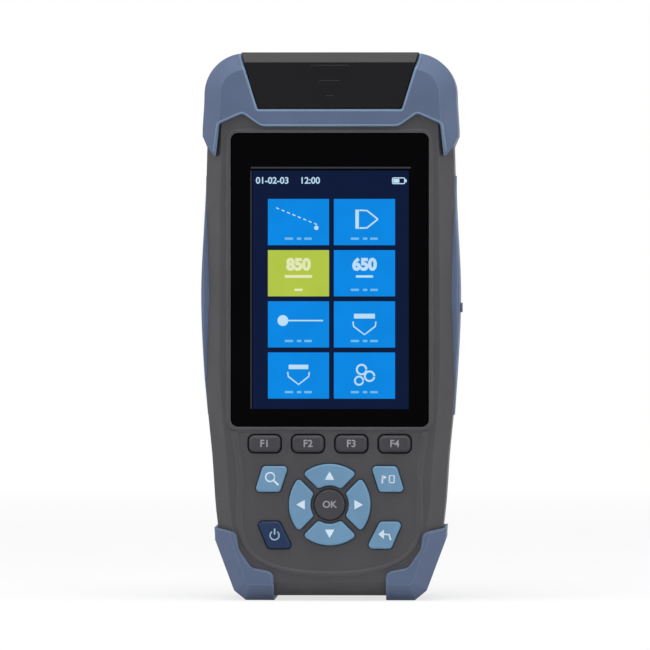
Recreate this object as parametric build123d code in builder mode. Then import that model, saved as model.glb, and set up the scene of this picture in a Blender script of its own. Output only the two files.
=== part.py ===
from build123d import *
import os

os.makedirs("parts", exist_ok=True)

# A handheld optical fibre tester, standing on its two lower bumpers.
# The display faces -Y, +X is its right-hand side and +Z is up. The origin is on the ground
# under the middle of the case. Sizes are in millimetres.

# Case: half widths, with the heights at which they are reached
case_depth = 40.0
case_bottom = 1.5
heel_half = 26.0
knee_half = 28.5
knee_height = 3.9
ankle_half = 35.1
ankle_height = 19.0
waist_half = 35.8
waist_height = 27.0
flare_half = 37.2
flare_height = 46.0
hip_half = 38.4
hip_height = 58.0
belly_half = 39.2
belly_height = 100.0
chest_half = 38.9
chest_height = 136.0
shoulder_half = 38.4
shoulder_height = 159.0
case_corner = 11.8
bevel_in = 4.6
bevel_back = 6.0
wall = 2.2
rear_wall = 2.0
cavity_corner = 5.0
parting_y = 2.4

# Clearances that are used all over the tester
seat_gap = 0.1
fit_clear = 0.15
running_clear = 0.05
overcut = 1.0

# Soft skin: the bumpers and grips stand this far out of the case
skin_face = 1.0
skin_side = 1.2
skin_hip = 0.5
skin_bulge = 1.4
skin_chest = 0.7
skin_lobe = 1.8
skin_crown = 1.2
skin_heel = 0.6
skin_knee = 1.8
skin_knee_height = 3.0
skin_roll = 0.6
grip_sink = 1.2
grip_face_inset = 0.7
grip_foot = 58.0
grip_head = 133.5
grip_half_depth = 15.5
grip_end_half_depth = 6.5
grip_taper = 12.0
grip_corner = 3.0

# Port bay at the top, and the dust cover over it
bay_depth = 12.8
floor_thick = 2.5
bay_rear_wall = 4.0
cover_rise = 1.4
cover_height = 17.8
cover_foot_half = 22.3
cover_top_half = 27.8
cover_thick = 2.3
cover_proud = 0.7
cover_bevel_height = 3.2
cover_bevel_depth = 2.6
cover_corner = 1.2
cover_clear = 0.3
cover_rear_relief = 1.9
cover_rear_slope = 2.8
cover_web = 4.0
cover_hinge_drop = 4.6
cover_hinge_inset = 3.6
hinge_barrel_r = 2.2
hinge_pin_r = 1.0
hinge_lug_half = 8.5
hinge_end_lug = 22.4
hinge_end_lug_thick = 4.2
hinge_pin_end = 3.2
hinge_floor_gap = 0.6
pin_chamfer = 0.2

# Raised marks on the dust cover that show where to lift it: width, height and drop from the top
cover_bars = [(12.3, 1.4, 4.8), (6.6, 1.5, 9.6)]
cover_bar_corner = 0.5
cover_arrow_half = 1.3
cover_arrow_drop = 13.6
cover_arrow_height = 1.9
cover_mark_height = 0.3

# Top bumper, seen from the front: a crossbar under the cover and an ear with a leg on each side
crossbar_height = 5.6
crossbar_foot_half = 21.2
crossbar_end_rise = 0.1
peak_half = 27.3
peak_rise = 4.1
leg_half = 34.6
leg_rise = 1.0
leg_tip_half = 35.8
leg_drop = 9.6
lobe_half = 38.7
lobe_drop = 6.2
lobe_top_half = 40.4
lobe_top_drop = 2.4
bumper_corners = (1.5, 2.0, 1.5, 0.4, 1.0, 1.5)

# Lower bumpers, seen from the front: an S-shaped edge from the toe up to the side
toe_half = 17.6
toe_height = 9.1
instep_half = 24.6
instep_height = 10.5
shin_half = 28.5
shin_height = 16.2
cuff_half = 29.3
cuff_height = 21.6
cuff_side_height = 22.9
lower_bumper_corner = 2.4

# Window and display
window_half = 31.0
window_bottom = 54.8
window_top = 146.8
window_corner = 2.2
window_thick = 1.6
window_sunk = 0.1
window_chamfer = 0.2
rim_width = 1.2
rim_height = 0.45
view_half = 25.2
view_bottom = 59.6
view_top = 136.8
view_corner = 1.0
display_half = 27.6
display_bottom = 57.0
display_top = 141.0
display_thick = 3.0
display_corner = 0.8
bracket_thick = 1.0
bracket_half = 34.0
bracket_over = 1.0
bracket_window_half = 20.6
bracket_window_inset = 17.0
ribbon_half = 9.0
ribbon_thick = 0.3
ribbon_drop = 1.8
ribbon_back = 2.0
ribbon_rise = 7.0
ribbon_plug_half = 10.0
ribbon_plug_height = 3.6

# Keypad: the field that the ridge bounds, then its keys
keypad_top = 53.2
keypad_half = 28.9
keypad_waist = 38.0
keypad_waist_half = 27.0
keypad_hip = 17.0
keypad_hip_half = 25.2
keypad_foot = 9.4
ridge_width = 2.2
ridge_height = 0.45
ridge_slope = 0.6
key_gap = 0.25
key_lip = 0.8
ring_lip = 0.45
key_lip_thick = 0.8
key_proud = 1.1
key_travel = 0.8
key_round = 0.4
key_corner = 1.2
stem_r = 1.5
stem_gap = 0.05
f_key_width = 9.8
f_key_height = 5.2
f_key_corner = 1.6
f_key_gap = 0.55
f_key_lip = 1.1
f_key_round = 0.7
f_key_pitch = 13.6
f_key_z = 49.4
pad_z = 30.3
pad_outer_r = 12.8
pad_inner_r = 6.0
pad_slot = 2.0
pad_corner = 1.0
ok_r = 4.8
membrane_gap = 1.0
membrane_depth = 3.4
membrane_thick = 1.0
membrane_rim = 1.0
membrane_half = 25.2
membrane_foot_half = 20.0
membrane_foot = 14.3
membrane_knee = 23.0
membrane_top = 52.9
membrane_hole = 0.4
dome_r = 2.3
dome_height = 0.8
dome_slope = 35
keypad_board_half = 29.5
keypad_board_bottom = 13.5
keypad_board_top = 53.3
keypad_board_thick = 1.2

# Main board and what it carries
main_board_half = 27.5
main_board_bottom = 20.0
main_board_top = 152.0
main_board_front = -6.0
main_board_thick = 1.6
link_half = 10.0
link_bottom = 29.5
link_height = 5.0
module_left = -26.0
module_width = 42.0
module_depth = 12.0
module_bottom = 100.0
module_height = 35.0
module_chamfer = 1.0
buzzer_x = -22.0
buzzer_z = 32.0
buzzer_r = 6.0
buzzer_depth = 4.0
buzzer_hole_r = 1.0

# Posts, bosses and screws
post_r = 2.2
post_root = 0.5
screw_r = 0.9
screw_hole_clear = 0.1
screw_head_r = 1.7
screw_head_thick = 1.0
screw_bite = 2.2
screw_hole_spare = 0.4
case_screw_r = 1.25
case_screw_clear = 0.3
case_screw_head_r = 2.4
case_screw_head_thick = 2.2
case_screw_sink = 8.0
case_screw_bite = 10.0
case_boss_r = 3.2
keypad_posts = [(27.7, 44.0), (24.5, 17.0)]
bracket_posts = [(31.5, 64.0), (31.5, 136.0)]
main_board_posts = [(24.0, 64.0), (24.0, 139.0)]
case_bosses = [(31.0, 146.0), (14.0, 8.8)]

# Side port cover and the sockets behind it
door_bottom = 66.0
door_top = 118.0
door_front = -7.4
door_rear = 11.8
door_face = 40.4
door_thick = 2.5
door_corner = 1.5
door_clear = 0.3
door_wall = 2.8
door_wall_round = 3.0
tab_reach = 1.1
tab_height = 3.0
tab_depth = 2.2
socket_proud = 0.2
jack_width = 16.0
jack_height = 13.5
jack_depth = 17.4
jack_mouth_width = 11.8
jack_mouth_height = 6.8
jack_mouth_depth = 12.5
jack_latch_width = 6.0
jack_latch_height = 1.6
lower_jack_z = 78.0
upper_jack_z = 96.5
usb_z = 111.0
usb_width = 9.0
usb_height = 3.3
usb_depth = 7.4
usb_wall = 0.4
usb_corner = 1.2
usb_back = 1.0
usb_tongue_thick = 0.7
usb_tongue_inset = 1.5

# Kickstand, battery and battery door
stand_half = 23.0
stand_bottom = 34.0
stand_hinge_z = 106.0
stand_thick = 2.3
stand_recess = 2.7
stand_recess_corner = 1.5
stand_corner = 3.0
stand_barrel_r = 1.9
stand_pin_r = 0.8
stand_pin_end = 3.0
stand_clear = 0.3
stand_under = 0.15
stand_panel_inset = 6.0
stand_panel_foot = 7.0
stand_panel_head = 15.0
stand_panel_depth = 0.8
finger_width = 20.0
finger_height = 8.0
finger_drop = 2.0
rear_pad_thick = 3.3
rear_pad_side = 2.5
rear_pad_end = 6.0
battery_half = 16.8
battery_bottom = 41.0
battery_top = 95.0
battery_thick = 10.8
battery_corner = 2.5
battery_door_half = 19.5
battery_door_thick = 1.8
battery_door_lip = 4.0
battery_screw_half = 14.0

# Port plate and optical ports
port_plate_thick = 1.5
port_plate_side = 1.2
port_plate_front = 2.4
port_plate_rear = 3.0
plate_screw_side = 2.5
plate_screw_end = 3.0
port_headroom = 1.9
port_pitch = 14.5
ferrule_r = 1.25
ferrule_floor = 0.5
sleeve_r = 1.75
sleeve_drop = 0.6
short_port_drop = 1.0
reflectometer_barrel_r = 4.0
reflectometer_bore_r = 3.1
flange_side = 12.0
flange_thick = 1.6
power_meter_r = 5.8
fault_locator_r = 4.4
adapter_root_r = 3.8
adapter_root = 5.0

# Places that follow from the sizes above
face_y = -case_depth / 2
back_y = case_depth / 2
inner_face_y = face_y + wall
inner_back_y = back_y - rear_wall
case_top = shoulder_height + case_corner
skin_half_depth = case_depth / 2 + skin_face
skin_shoulder = shoulder_half + skin_side
bay_floor = case_top - bay_depth
cavity_top = bay_floor - floor_thick
cover_top = case_top + cover_rise
cover_foot = cover_top - cover_height
cover_slope = (cover_top_half - cover_foot_half) / cover_height
cover_face_y = face_y - cover_proud
cover_flap_back = cover_face_y + cover_thick
cover_under = cover_top - cover_thick
cover_hinge_y = back_y - cover_hinge_inset
cover_hinge_z = cover_top - cover_hinge_drop
bay_rear_y = back_y - bay_rear_wall
crossbar_foot = cover_foot - crossbar_height
beyond = cover_top + case_depth
window_middle = (window_bottom + window_top) / 2
window_height = window_top - window_bottom
display_y = inner_face_y + seat_gap
bracket_y = display_y + display_thick + seat_gap
bracket_y_rear = bracket_y + bracket_thick
main_board_rear = main_board_front + main_board_thick
key_lip_y = inner_face_y + seat_gap
membrane_y = key_lip_y + key_lip_thick + membrane_gap
keypad_board_y = membrane_y + membrane_depth
keypad_board_rear = keypad_board_y + keypad_board_thick
stem_end_y = keypad_board_y - dome_height - key_travel - stem_gap
door_middle = (door_bottom + door_top) / 2
door_recess_x = door_face - door_thick - door_clear
socket_x = door_recess_x - socket_proud
stand_floor_y = back_y - stand_recess
stand_hinge_y = back_y - stand_clear - stand_barrel_r
stand_plate_y = stand_floor_y + stand_under
stand_pad_y = stand_floor_y - rear_pad_thick
battery_door_rear = stand_floor_y - seat_gap
battery_door_front = battery_door_rear - battery_door_thick
battery_rear = battery_door_front - seat_gap
battery_screws = [(battery_screw_half, battery_bottom - battery_door_lip / 2),
                  (battery_screw_half, battery_top + battery_door_lip / 2)]
plate_top = bay_floor + port_plate_thick
port_top = cover_under - port_headroom
port_plate_half = cover_foot_half + cover_slope * (bay_floor - cover_foot) + cover_clear - port_plate_side
port_plate_near = cover_flap_back + port_plate_front
port_plate_far = bay_rear_y - port_plate_rear
plate_screws = [(sign * (port_plate_half - plate_screw_side), y) for sign in (-1, 1)
                for y in (port_plate_near + plate_screw_end, port_plate_far - plate_screw_end)]
port_places = (-port_pitch, 0, port_pitch)


def front_view(y):
    """Sketch plane seen from the front at depth y: a positive extrusion comes towards the user."""
    return Plane(origin=(0, y, 0), x_dir=(1, 0, 0), z_dir=(0, -1, 0))


def both_sides(places):
    return [(sign * x, z) for x, z in places for sign in (-1, 1)]


def block(x, y, z):
    """Box between a low and a high value along each axis."""
    with BuildPart() as box:
        with Locations(((x[0] + x[1]) / 2, (y[0] + y[1]) / 2, (z[0] + z[1]) / 2)):
            Box(x[1] - x[0], y[1] - y[0], z[1] - z[0])
    return box.part


def rod(start, direction, radius, length):
    """Plain cylinder from a start point along a direction."""
    with BuildPart() as cylinder:
        with BuildSketch(Plane(origin=start, z_dir=direction)):
            Circle(radius)
        extrude(amount=length)
    return cylinder.part


def post(x, z, radius, y_start, y_end):
    """Round boss inside the case, standing along its depth."""
    return rod((x, y_start, z), (0, 1, 0), radius, y_end - y_start)


def screw(head_place, direction, shank_length, shank_r, head_r, head_thick):
    """Pan-head screw: its head sits on a place, and its shank runs on along the direction."""
    back = tuple(-step for step in direction)
    crown = tuple(place + step * head_thick for place, step in zip(head_place, back))
    with BuildPart() as fastener:
        add(rod(head_place, back, head_r, head_thick))
        chamfer(fastener.faces().sort_by(Axis(head_place, back))[-1].edges(), head_thick / 3)
        add(rod(head_place, direction, shank_r, shank_length))
        add(rod(crown, direction, head_r / 2.5, head_thick / 2), mode=Mode.SUBTRACT)
    return fastener.part


def case_form(side, heel, knee, bottom, corner, half_depth, inset, back):
    """Closed case form: its front outline carried through the depth, with both rims bevelled."""
    with BuildPart() as form:
        with BuildSketch(Plane.XZ):
            with BuildLine():
                Polyline((0, bottom), (heel, bottom), knee, side[0])
                Spline(side, tangents=((0, 1), (0, 1)))
                JernArc(side[-1], (0, 1), corner, 90)
                Line((side[-1][0] - corner, side[-1][1] + corner), (0, side[-1][1] + corner))
                mirror(about=Plane.YZ)
            make_face()
        extrude(amount=half_depth, both=True)
        for rim in (form.faces().sort_by(Axis.Y)[0], form.faces().sort_by(Axis.Y)[-1]):
            chamfer(rim.edges(), length=inset, length2=back, reference=rim)
    return form.part


def cover_wedge(y_front, y_back, low, clear):
    """Block that widens upwards as the dust cover does, grown sideways by a clearance."""
    low_half = cover_foot_half + cover_slope * (low - cover_foot) + clear
    high_half = cover_foot_half + cover_slope * (beyond - cover_foot) + clear
    with BuildPart() as wedge:
        with BuildSketch(front_view(y_front)):
            with BuildLine():
                Polyline((-low_half, low), (low_half, low), (high_half, beyond), (-high_half, beyond),
                         close=True)
            make_face()
        extrude(amount=y_front - y_back)
    return wedge.part


# Outer forms: the case, the soft skin round it, the room inside and the bed of the grips
case_side = [(ankle_half, ankle_height), (waist_half, waist_height), (flare_half, flare_height),
             (hip_half, hip_height), (belly_half, belly_height), (chest_half, chest_height),
             (shoulder_half, shoulder_height)]
skin_lines = [(ankle_half + skin_side, ankle_height), (waist_half + skin_side, waist_height),
              (hip_half + skin_hip, hip_height), (belly_half + skin_bulge, belly_height),
              (chest_half + skin_chest, chest_height),
              (shoulder_half + skin_lobe, crossbar_foot - lobe_top_drop),
              (skin_shoulder, shoulder_height)]
cavity_side = [(half - wall, height) for half, height in case_side[:-1]]
cavity_side.append((shoulder_half - wall, cavity_top - cavity_corner))
grip_bed_side = [(half - grip_sink, height) for half, height in case_side]

case_core = case_form(case_side, heel_half, (knee_half, knee_height), case_bottom, case_corner,
                      case_depth / 2, bevel_in, bevel_back)
skin = case_form(skin_lines, heel_half + skin_heel, (knee_half + skin_knee, skin_knee_height), 0,
                 case_corner + skin_crown, skin_half_depth, bevel_in + skin_hip, bevel_back + skin_hip)
cavity = case_form(cavity_side, heel_half - wall / 2, (knee_half - wall, knee_height + wall),
                   case_bottom + wall, cavity_corner, case_depth / 2 - wall, bevel_in - wall / 2,
                   bevel_back - wall / 2)
grip_bed = case_form(grip_bed_side, heel_half, (knee_half, knee_height), case_bottom, case_corner,
                     case_depth / 2 - grip_face_inset, bevel_in, bevel_back)

# Top bumper: two ears joined by a crossbar, with rolled edges at the front and the back
seat_foot_half = cover_foot_half + cover_clear
seat_top_half = cover_foot_half + cover_slope * (beyond - cover_foot) + cover_clear
with BuildPart() as top_bumper:
    with BuildSketch(Plane.XZ):
        with BuildLine():
            FilletPolyline((0, crossbar_foot), (crossbar_foot_half, crossbar_foot + crossbar_end_rise),
                           (peak_half, crossbar_foot + peak_rise), (leg_half, crossbar_foot + leg_rise),
                           (leg_tip_half, crossbar_foot - leg_drop),
                           (lobe_half, crossbar_foot - lobe_drop),
                           (lobe_top_half, crossbar_foot - lobe_top_drop),
                           (seat_top_half + case_depth, crossbar_foot - lobe_top_drop + seat_gap),
                           radius=bumper_corners)
            Polyline((seat_top_half + case_depth, crossbar_foot - lobe_top_drop + seat_gap),
                     (seat_top_half + case_depth, beyond), (seat_top_half, beyond),
                     (seat_foot_half, cover_foot), (0, cover_foot))
            mirror(about=Plane.YZ)
        make_face()
    extrude(amount=skin_half_depth, both=True)
    for rim in (top_bumper.faces().sort_by(Axis.Y)[0], top_bumper.faces().sort_by(Axis.Y)[-1]):
        fillet(rim.edges(), skin_roll)
    add(skin, mode=Mode.INTERSECT)
    add(case_core, mode=Mode.SUBTRACT)
top_bumper.part.label = "top_bumper"
export_step(top_bumper.part, "parts/top_bumper.step")

# Lower bumpers: soft corner feet with an S-shaped, rolled inner edge
lower_bumpers = {}
for side_name, sign in (("left", -1), ("right", 1)):
    outside = sign * (ankle_half + case_depth)
    with BuildPart() as lower_bumper:
        with BuildSketch(Plane.XZ):
            with BuildLine():
                FilletPolyline((sign * toe_half, -case_depth), (sign * toe_half, toe_height),
                               (sign * instep_half, instep_height), (sign * shin_half, shin_height),
                               (sign * cuff_half, cuff_height),
                               (sign * (ankle_half + skin_side), cuff_side_height),
                               radius=lower_bumper_corner)
                Polyline((sign * (ankle_half + skin_side), cuff_side_height),
                         (outside, cuff_side_height), (outside, -case_depth),
                         (sign * toe_half, -case_depth))
            make_face()
        extrude(amount=skin_half_depth, both=True)
        for rim in (lower_bumper.faces().sort_by(Axis.Y)[0], lower_bumper.faces().sort_by(Axis.Y)[-1]):
            fillet(rim.edges(), skin_roll)
        add(skin, mode=Mode.INTERSECT)
        add(case_core, mode=Mode.SUBTRACT)
    lower_bumper.part.label = f"lower_{side_name}_bumper"
    export_step(lower_bumper.part, f"parts/lower_{side_name}_bumper.step")
    lower_bumpers[side_name] = lower_bumper.part

# Side grips: leaf-shaped soft inlays that bulge out of the case sides
with BuildPart() as grip_leaf:
    with BuildSketch(Plane.YZ.offset(waist_half - 2 * bevel_in)) as leaf:
        with BuildLine():
            Polyline((0, grip_foot), (grip_end_half_depth, grip_foot),
                     (grip_half_depth - grip_sink, grip_foot + grip_taper),
                     (grip_half_depth, (grip_foot + grip_head) / 2),
                     (grip_half_depth - grip_sink, grip_head - grip_taper),
                     (grip_end_half_depth, grip_head), (0, grip_head))
            mirror(about=Plane.YZ)
        make_face()
        fillet(leaf.vertices(), grip_corner)
    extrude(amount=case_depth)
    add(skin, mode=Mode.INTERSECT)
    add(grip_bed, mode=Mode.SUBTRACT)

with BuildPart() as left_grip:
    add(mirror(grip_leaf.part, about=Plane.YZ, mode=Mode.PRIVATE))
left_grip.part.label = "left_grip"
export_step(left_grip.part, "parts/left_grip.step")


def door_outline(x, grow):
    """Outline of the side port cover on a plane at x, grown all round."""
    with BuildSketch(Plane.YZ.offset(x)) as outline:
        with Locations(((door_front + door_rear) / 2, door_middle)):
            RectangleRounded(door_rear - door_front + 2 * grow, door_top - door_bottom + 2 * grow,
                             door_corner + grow)
    return outline.sketch


with BuildPart() as door_recess:
    extrude(door_outline(door_recess_x, door_clear), amount=case_depth)

with BuildPart() as right_grip:
    add(grip_leaf.part)
    add(door_recess.part, mode=Mode.SUBTRACT)
right_grip.part.label = "right_grip"
export_step(right_grip.part, "parts/right_grip.step")

# Room inside the case, less the thick walls round the side door and behind the kickstand
with BuildPart() as room:
    add(cavity)
    add(block((door_recess_x - door_wall, beyond),
              (door_front - door_wall_round, door_rear + door_wall_round),
              (door_bottom - door_wall, door_top + door_wall)), mode=Mode.SUBTRACT)
    add(block((-stand_half - rear_pad_side, stand_half + rear_pad_side), (stand_pad_y, beyond),
              (stand_bottom - rear_pad_end, stand_hinge_z + rear_pad_end)), mode=Mode.SUBTRACT)

# Hollow case before it is split into its two shells
with BuildPart() as hollow_case:
    add(case_core)
    add(room.part, mode=Mode.SUBTRACT)
    add(cover_wedge(-beyond, bay_rear_y, bay_floor, cover_clear), mode=Mode.SUBTRACT)
    add(cover_wedge(-beyond, cover_flap_back + seat_gap, cover_foot, cover_clear), mode=Mode.SUBTRACT)
    add(cover_wedge(-beyond, beyond, cover_hinge_z - hinge_barrel_r - hinge_floor_gap, cover_clear),
        mode=Mode.SUBTRACT)
    add(grip_leaf.part, mode=Mode.SUBTRACT)
    add(left_grip.part, mode=Mode.SUBTRACT)
    add(door_recess.part, mode=Mode.SUBTRACT)
    wall_through = (door_recess_x - door_wall - overcut, door_face)
    for width, height, socket_z in ((jack_width, jack_height, lower_jack_z),
                                    (jack_width, jack_height, upper_jack_z),
                                    (usb_width, usb_height, usb_z)):
        add(block(wall_through, (main_board_rear - fit_clear, main_board_rear + height + fit_clear),
                  (socket_z - width / 2 - fit_clear, socket_z + width / 2 + fit_clear)),
            mode=Mode.SUBTRACT)
    for x in port_places:
        add(rod((x, 0, bay_floor + overcut), (0, 0, -1), adapter_root_r + fit_clear,
                floor_thick + 2 * overcut), mode=Mode.SUBTRACT)
    for x, y in plate_screws:
        add(rod((x, y, bay_floor + overcut), (0, 0, -1), screw_r, floor_thick + 2 * overcut),
            mode=Mode.SUBTRACT)


def window_outline(y, grow):
    """Outline of the window on a plane at depth y, grown all round."""
    with BuildSketch(front_view(y)) as outline:
        with Locations((0, window_middle)):
            RectangleRounded(2 * (window_half + grow), window_height + 2 * grow, window_corner + grow)
    return outline.sketch


def keypad_outline(y, grow):
    """Outline of the keypad field: it narrows downwards and closes in a flat curve."""
    with BuildSketch(front_view(y)) as outline:
        with BuildLine():
            Polyline((0, keypad_top), (keypad_half + grow, keypad_top))
            Spline((keypad_half + grow, keypad_top), (keypad_waist_half + grow, keypad_waist),
                   (keypad_hip_half + grow, keypad_hip), (0, keypad_foot - grow),
                   tangents=((-0.1, -1), (-1, 0)))
            mirror(about=Plane.YZ)
        make_face()
    return outline.sketch


# Key outlines, seen from the front: each returns a sketch on a plane at depth y
def f_key_outline(column, y, grow):
    with BuildSketch(front_view(y)) as outline:
        with Locations(((column - 1.5) * f_key_pitch, f_key_z)):
            RectangleRounded(f_key_width + 2 * grow, f_key_height + 2 * grow, f_key_corner + grow)
    return outline.sketch


def corner_key_outline(corners, sign, y, grow):
    with BuildSketch(front_view(y)) as outline:
        with BuildLine():
            Polyline([(sign * x, z) for x, z in corners], close=True)
        make_face()
        fillet(outline.vertices(), key_corner)
        offset(amount=grow)
    return outline.sketch


def arrow_key_outline(quarter, y, grow):
    """One quarter of the ring round the OK key: 0 is right, 1 up, 2 left, 3 down."""
    reach = 2 * pad_outer_r
    lead = (pad_slot / 2 - grow) * 2 ** 0.5
    with BuildSketch() as wedge:
        with BuildLine():
            Polyline((lead, 0), (reach, reach - lead), (reach, lead - reach), close=True)
        make_face()
    with BuildSketch(front_view(y)) as outline:
        with Locations((0, pad_z)):
            Circle(pad_outer_r + grow)
            Circle(pad_inner_r - grow, mode=Mode.SUBTRACT)
        with Locations(Location((0, pad_z), 90 * quarter)):
            add(wedge.sketch, mode=Mode.INTERSECT)
        fillet(outline.vertices(), pad_corner + grow)
    return outline.sketch


def ok_key_outline(y, grow):
    with BuildSketch(front_view(y)) as outline:
        with Locations((0, pad_z)):
            Circle(ok_r + grow)
    return outline.sketch


# Every key by name: its outline, the place of its stem, its lip, the gap round it and its edge
upper_corners = [(21.0, 42.4), (13.0, 42.4), (15.6, 34.3), (23.5, 34.3)]
lower_corners = [(22.9, 25.0), (15.8, 25.0), (11.5, 16.5), (19.3, 16.5)]
ring_middle = (pad_outer_r + pad_inner_r) / 2
keys = {}
for column in range(4):
    keys[f"f{column + 1}_key"] = (
        lambda y, grow, column=column: f_key_outline(column, y, grow),
        ((column - 1.5) * f_key_pitch, f_key_z), f_key_lip, f_key_gap, f_key_round)
for key_name, corners, sign in (("zoom_key", upper_corners, -1), ("file_key", upper_corners, 1),
                                ("power_key", lower_corners, -1), ("back_key", lower_corners, 1)):
    keys[key_name] = (
        lambda y, grow, corners=corners, sign=sign: corner_key_outline(corners, sign, y, grow),
        (sign * sum(x for x, z in corners) / 4, sum(z for x, z in corners) / 4), key_lip, key_gap,
        key_round)
for quarter, (key_name, across, up) in enumerate((("right_key", 1, 0), ("up_key", 0, 1),
                                                  ("left_key", -1, 0), ("down_key", 0, -1))):
    keys[key_name] = (
        lambda y, grow, quarter=quarter: arrow_key_outline(quarter, y, grow),
        (across * ring_middle, pad_z + up * ring_middle), ring_lip, key_gap, key_round)
keys["ok_key"] = (ok_key_outline, (0, pad_z), ring_lip, key_gap, key_round)

for key_name, (outline_at, (stem_x, stem_z), lip, gap, edge) in keys.items():
    with BuildPart() as key:
        extrude(outline_at(key_lip_y, 0), amount=key_proud + key_lip_y - face_y)
        chamfer(key.faces().sort_by(Axis.Y)[0].edges(), edge)
        extrude(outline_at(key_lip_y, lip), amount=-key_lip_thick)
        add(post(stem_x, stem_z, stem_r, key_lip_y + key_lip_thick, stem_end_y))
    key.part.label = key_name
    export_step(key.part, f"parts/{key_name}.step")

# Ridge round the keypad field, sloped on both sides and open at the top
with BuildPart() as keypad_ridge:
    loft([keypad_outline(face_y + seat_gap, ridge_width),
          keypad_outline(face_y - ridge_height, ridge_width - ridge_slope)])
    loft([keypad_outline(face_y + seat_gap, 0), keypad_outline(face_y - ridge_height, ridge_slope)],
         mode=Mode.SUBTRACT)

# Front shell
with BuildPart() as front_shell:
    add(hollow_case)
    split(bisect_by=front_view(parting_y), keep=Keep.TOP)
    extrude(window_outline(face_y, fit_clear + rim_width), amount=rim_height)
    chamfer(front_shell.faces().sort_by(Axis.Y)[0].edges(), rim_height * 0.7)
    add(keypad_ridge.part)
    for bumper in lower_bumpers.values():
        add(bumper, mode=Mode.SUBTRACT)
    extrude(window_outline(face_y - overcut, fit_clear), amount=-(overcut + window_thick + window_sunk),
            mode=Mode.SUBTRACT)
    with BuildSketch(front_view(face_y)):
        with Locations((0, (view_bottom + view_top) / 2)):
            RectangleRounded(2 * view_half, view_top - view_bottom, view_corner)
    extrude(amount=-wall - overcut, mode=Mode.SUBTRACT)
    for places, post_end in ((keypad_posts, keypad_board_y), (bracket_posts, bracket_y)):
        for x, z in both_sides(places):
            add(post(x, z, post_r, inner_face_y - post_root, post_end))
            add(post(x, z, screw_r, post_end - screw_bite - screw_hole_spare, post_end),
                mode=Mode.SUBTRACT)
    for x, z in both_sides(case_bosses):
        add(post(x, z, case_boss_r, inner_face_y - post_root, parting_y))
        add(post(x, z, case_screw_r, parting_y - case_screw_bite - screw_hole_spare, parting_y),
            mode=Mode.SUBTRACT)
    for outline_at, stem_place, lip, gap, edge in keys.values():
        extrude(outline_at(face_y - overcut, gap), amount=-wall - 2 * overcut, mode=Mode.SUBTRACT)
front_shell.part.label = "front_shell"
export_step(front_shell.part, "parts/front_shell.step")

# Rear shell: the kickstand's recess with its hinge pocket, the battery opening and its ledge
lug_length = hinge_barrel_r + hinge_floor_gap + hinge_barrel_r
pin_half = hinge_end_lug + hinge_pin_end
stand_pin_half = stand_half + stand_pin_end
with BuildPart() as rear_shell:
    add(hollow_case)
    split(bisect_by=front_view(parting_y), keep=Keep.BOTTOM)
    with BuildSketch(front_view(stand_floor_y)):
        with Locations((0, (stand_bottom + stand_hinge_z + stand_barrel_r) / 2)):
            RectangleRounded(2 * (stand_half + stand_clear),
                             stand_hinge_z + stand_barrel_r - stand_bottom + 2 * stand_clear,
                             stand_recess_corner)
        with Locations((0, stand_bottom - finger_drop)):
            SlotOverall(finger_width, finger_height)
    extrude(amount=-case_depth, mode=Mode.SUBTRACT)
    add(rod((-stand_half - stand_clear, stand_hinge_y, stand_hinge_z), (1, 0, 0),
            stand_barrel_r + stand_clear, 2 * (stand_half + stand_clear)), mode=Mode.SUBTRACT)
    add(block((-battery_door_half - fit_clear, battery_door_half + fit_clear),
              (battery_door_front, back_y),
              (battery_bottom - battery_door_lip - fit_clear, battery_top + battery_door_lip + fit_clear)),
        mode=Mode.SUBTRACT)
    add(block((-battery_half - stand_clear, battery_half + stand_clear), (parting_y, back_y),
              (battery_bottom - stand_clear, battery_top + stand_clear)), mode=Mode.SUBTRACT)
    for x, z in both_sides(case_bosses):
        add(post(x, z, case_boss_r, parting_y, inner_back_y + post_root))
        add(post(x, z, case_screw_r + case_screw_clear, parting_y, back_y + overcut), mode=Mode.SUBTRACT)
        add(post(x, z, case_screw_head_r + case_screw_clear, back_y - case_screw_sink, back_y + overcut),
            mode=Mode.SUBTRACT)
    for start, length in ((-hinge_lug_half, 2 * hinge_lug_half), (hinge_end_lug, hinge_end_lug_thick),
                          (-hinge_end_lug - hinge_end_lug_thick, hinge_end_lug_thick)):
        with BuildSketch(Plane.YZ.offset(start)):
            with Locations((cover_hinge_y, cover_hinge_z)):
                Circle(hinge_barrel_r)
            with Locations((cover_hinge_y, cover_hinge_z - lug_length / 2)):
                Rectangle(2 * hinge_barrel_r, lug_length)
        extrude(amount=length)
    add(rod((-pin_half, cover_hinge_y, cover_hinge_z), (1, 0, 0), hinge_pin_r, 2 * pin_half),
        mode=Mode.SUBTRACT)
    add(rod((-stand_pin_half, stand_hinge_y, stand_hinge_z), (1, 0, 0), stand_pin_r,
            2 * stand_pin_half), mode=Mode.SUBTRACT)
    for x, z in both_sides(battery_screws):
        add(post(x, z, screw_r, stand_pad_y - overcut, back_y), mode=Mode.SUBTRACT)
rear_shell.part.label = "rear_shell"
export_step(rear_shell.part, "parts/rear_shell.step")

# Hinge pins
for pin_name, half_length, radius, y, z in (
        ("dust_cover_pin", pin_half, hinge_pin_r, cover_hinge_y, cover_hinge_z),
        ("kickstand_pin", stand_pin_half, stand_pin_r, stand_hinge_y, stand_hinge_z)):
    with BuildPart() as pin:
        add(rod((-half_length, y, z), (1, 0, 0), radius, 2 * half_length))
        chamfer(pin.edges().filter_by(GeomType.CIRCLE), pin_chamfer)
    pin.part.label = pin_name
    export_step(pin.part, f"parts/{pin_name}.step")

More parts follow.
